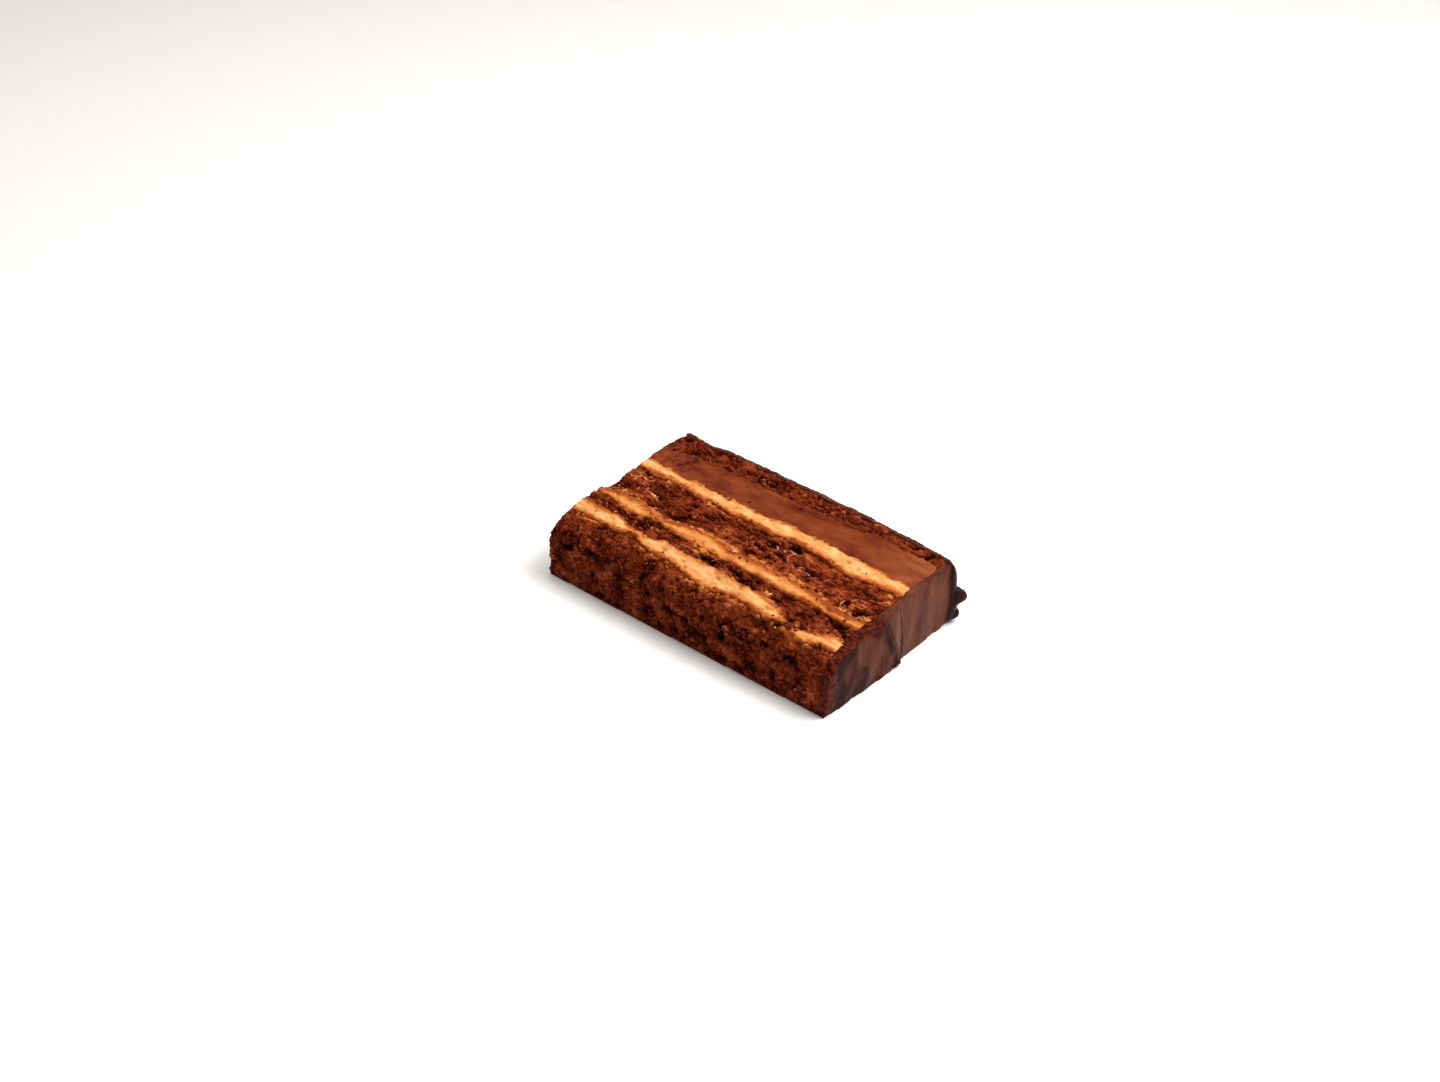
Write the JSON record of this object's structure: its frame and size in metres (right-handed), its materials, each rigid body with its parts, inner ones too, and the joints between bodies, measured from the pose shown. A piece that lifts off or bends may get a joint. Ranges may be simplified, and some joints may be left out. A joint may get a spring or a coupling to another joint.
{
  "type": "slice of chocolate layer cake",
  "caption": "Slice of chocolate cake lying on its cut side: dark sponge layers, pale buttercream bands and a thick fudge band, with a thin dark ganache coat on the end and top.",
  "frame": {"origin": "the middle of the flat cut side that the slice lies on, under the sponge between the upper and the middle cream bands", "axes": "+X along the slice to its ganache-coated outer end, +Y up the cake as baked to its ganache-coated top, +Z through the thickness of the slice, from the cut side it lies on to the cut side that shows"},
  "size_m": [0.1303, 0.077, 0.0252],
  "materials": {
    "sponge_bottom": "dry open crumb of dark chocolate sponge",
    "cream_lower": "soft caramel-yellow buttercream, dull sheen",
    "sponge_lower": "moist open crumb of dark chocolate sponge",
    "cream_middle": "soft caramel-yellow buttercream, dull sheen",
    "sponge_middle": "moist open crumb of dark chocolate sponge",
    "cream_upper": "soft caramel-yellow buttercream, dull sheen",
    "fudge_layer": "smooth set milk-chocolate fudge, satin",
    "sponge_top": "moist open crumb of dark chocolate sponge",
    "ganache_coat": "set dark chocolate ganache with knife streaks, satin"
  },
  "bodies": {
    "root": {"sponge_bottom": "sponge_bottom", "cream_lower": "cream_lower", "sponge_lower": "sponge_lower", "cream_middle": "cream_middle", "sponge_middle": "sponge_middle", "cream_upper": "cream_upper", "fudge_layer": "fudge_layer", "sponge_top": "sponge_top", "ganache_coat": "ganache_coat"}
  },
  "joints": []
}
